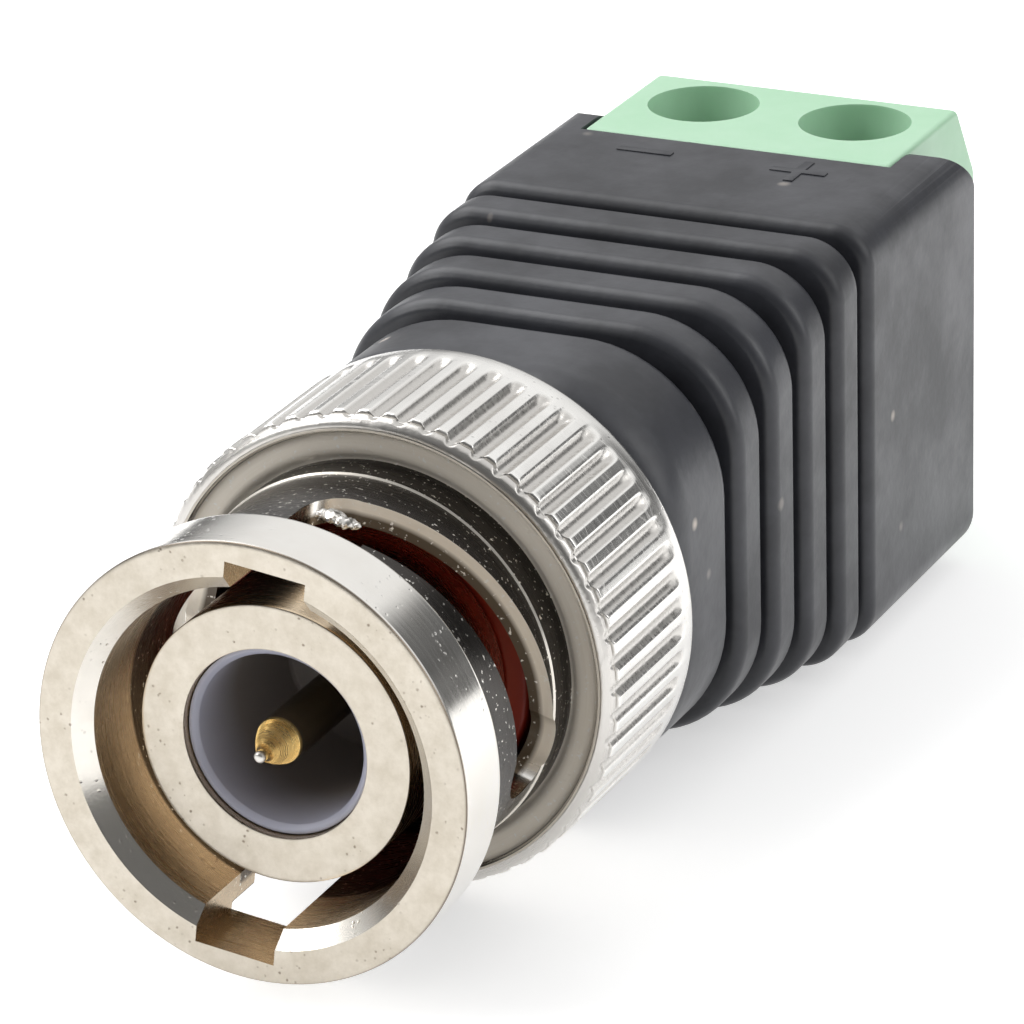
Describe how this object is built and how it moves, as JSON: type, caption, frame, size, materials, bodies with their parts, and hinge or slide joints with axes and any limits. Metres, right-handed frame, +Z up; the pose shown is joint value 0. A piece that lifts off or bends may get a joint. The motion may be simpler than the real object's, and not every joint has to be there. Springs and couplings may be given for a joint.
{
  "type": "video balun",
  "caption": "Bayonet coaxial video plug in a ribbed black housing with a green screw terminal block for a twisted pair.",
  "frame": {"origin": "centre of the barrel's front face, on the connector's axis", "axes": "+Y along the connector's axis towards the terminals, +X to the right when the plug is looked into, +Z up, the side of the clamping screws"},
  "size_m": [0.014, 0.0399, 0.014],
  "materials": {
    "nickel_plate": "turned brass with bright nickel plate",
    "gold_plate": "gold plate",
    "tinned_brass": "tin plate",
    "spring_steel": "bright spring sheet",
    "zinc_steel": "zinc plate",
    "red_silicone": "soft satin",
    "white_liner": "satin",
    "black_shell": "fine moulded grain",
    "green_block": "satin",
    "board_laminate": "solder mask",
    "ferrite": "sintered",
    "copper_wire": "enamelled",
    "tinned_wire": "tin plate",
    "ceramic": "sintered"
  },
  "bodies": {
    "plug": {"plug_body": "nickel_plate", "gasket": "red_silicone", "wave_washer": "spring_steel", "retaining_ring": "spring_steel", "ground_tag": "tinned_brass", "front_insulator": "white_liner", "rear_insulator": "white_liner", "centre_pin": "gold_plate", "signal_wire": "tinned_wire", "housing": "black_shell", "terminal_block": "green_block", "circuit_board": "board_laminate", "chip_capacitor": "ceramic", "ferrite_ring": "ferrite", "line_winding": "copper_wire", "video_winding": "copper_wire", "contact_bar_left": "tinned_brass", "contact_bar_right": "tinned_brass"},
    "washer": {"thrust_washer": "spring_steel"},
    "nut": {"coupling_nut": "nickel_plate"},
    "screw_left": {"clamp_screw_left": "zinc_steel"},
    "screw_right": {"clamp_screw_right": "zinc_steel"},
    "cage_left": {"wire_clamp_left": "zinc_steel"},
    "cage_right": {"wire_clamp_right": "zinc_steel"}
  },
  "joints": [
    {"name": "nut_draw", "type": "slide", "parent": "plug", "child": "washer", "axis": [0, -1, 0], "range_m": [0, 0.0006], "stiffness_N_per_m": 400, "springref_m": -0.001, "deforming": ["wave_washer"]},
    {"name": "nut_turn", "type": "hinge", "parent": "washer", "child": "nut", "pos_m": [0, 0.0098, 0], "axis": [0, -1, 0], "continuous": true},
    {"name": "screw_left_turn", "type": "hinge", "parent": "plug", "child": "screw_left", "pos_m": [-0.00254, 0.0348, 0.0028], "axis": [0, 0, 1], "range_deg": [-1440, 0]},
    {"name": "screw_right_turn", "type": "hinge", "parent": "plug", "child": "screw_right", "pos_m": [0.00254, 0.0348, 0.0028], "axis": [0, 0, 1], "range_deg": [-1440, 0]},
    {"name": "cage_left_rise", "type": "slide", "parent": "plug", "child": "cage_left", "axis": [0, 0, 1], "range_m": [0, 0.0018]},
    {"name": "cage_right_rise", "type": "slide", "parent": "plug", "child": "cage_right", "axis": [0, 0, 1], "range_m": [0, 0.0018]}
  ],
  "couplings": [
    {"joint": "screw_left_turn", "follows": "cage_left_rise", "rad_per_m": -13963},
    {"joint": "screw_right_turn", "follows": "cage_right_rise", "rad_per_m": -13963}
  ]
}
